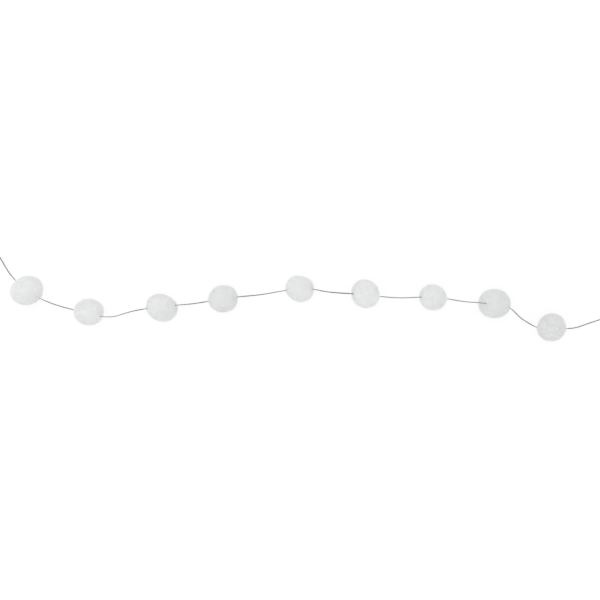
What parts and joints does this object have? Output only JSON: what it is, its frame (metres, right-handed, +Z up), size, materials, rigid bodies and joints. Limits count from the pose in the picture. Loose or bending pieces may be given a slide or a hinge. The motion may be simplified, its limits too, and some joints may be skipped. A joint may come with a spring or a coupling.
{
  "type": "plush snowball garland",
  "caption": "Garland of soft white plush snowballs threaded on a twisted silver string, laid out in a loose wave, with a small hanging loop tied at each end.",
  "frame": {"origin": "on the resting surface, under the middle of the nine snowballs' box", "axes": "+X along the garland from its left end to its right one, +Y towards the high side of its wave, +Z up from the resting surface"},
  "size_m": [0.856, 0.1377, 0.038],
  "materials": {
    "plush": "short dense white plush pile, matt",
    "string": "twisted silver metallic yarn"
  },
  "bodies": {
    "root": {"snowball_1": "plush", "snowball_2": "plush", "snowball_3": "plush", "snowball_4": "plush", "snowball_5": "plush", "snowball_6": "plush", "snowball_7": "plush", "snowball_8": "plush", "snowball_9": "plush", "string": "string", "knot_left": "string", "knot_right": "string", "loop_left": "string", "loop_right": "string"}
  },
  "joints": []
}
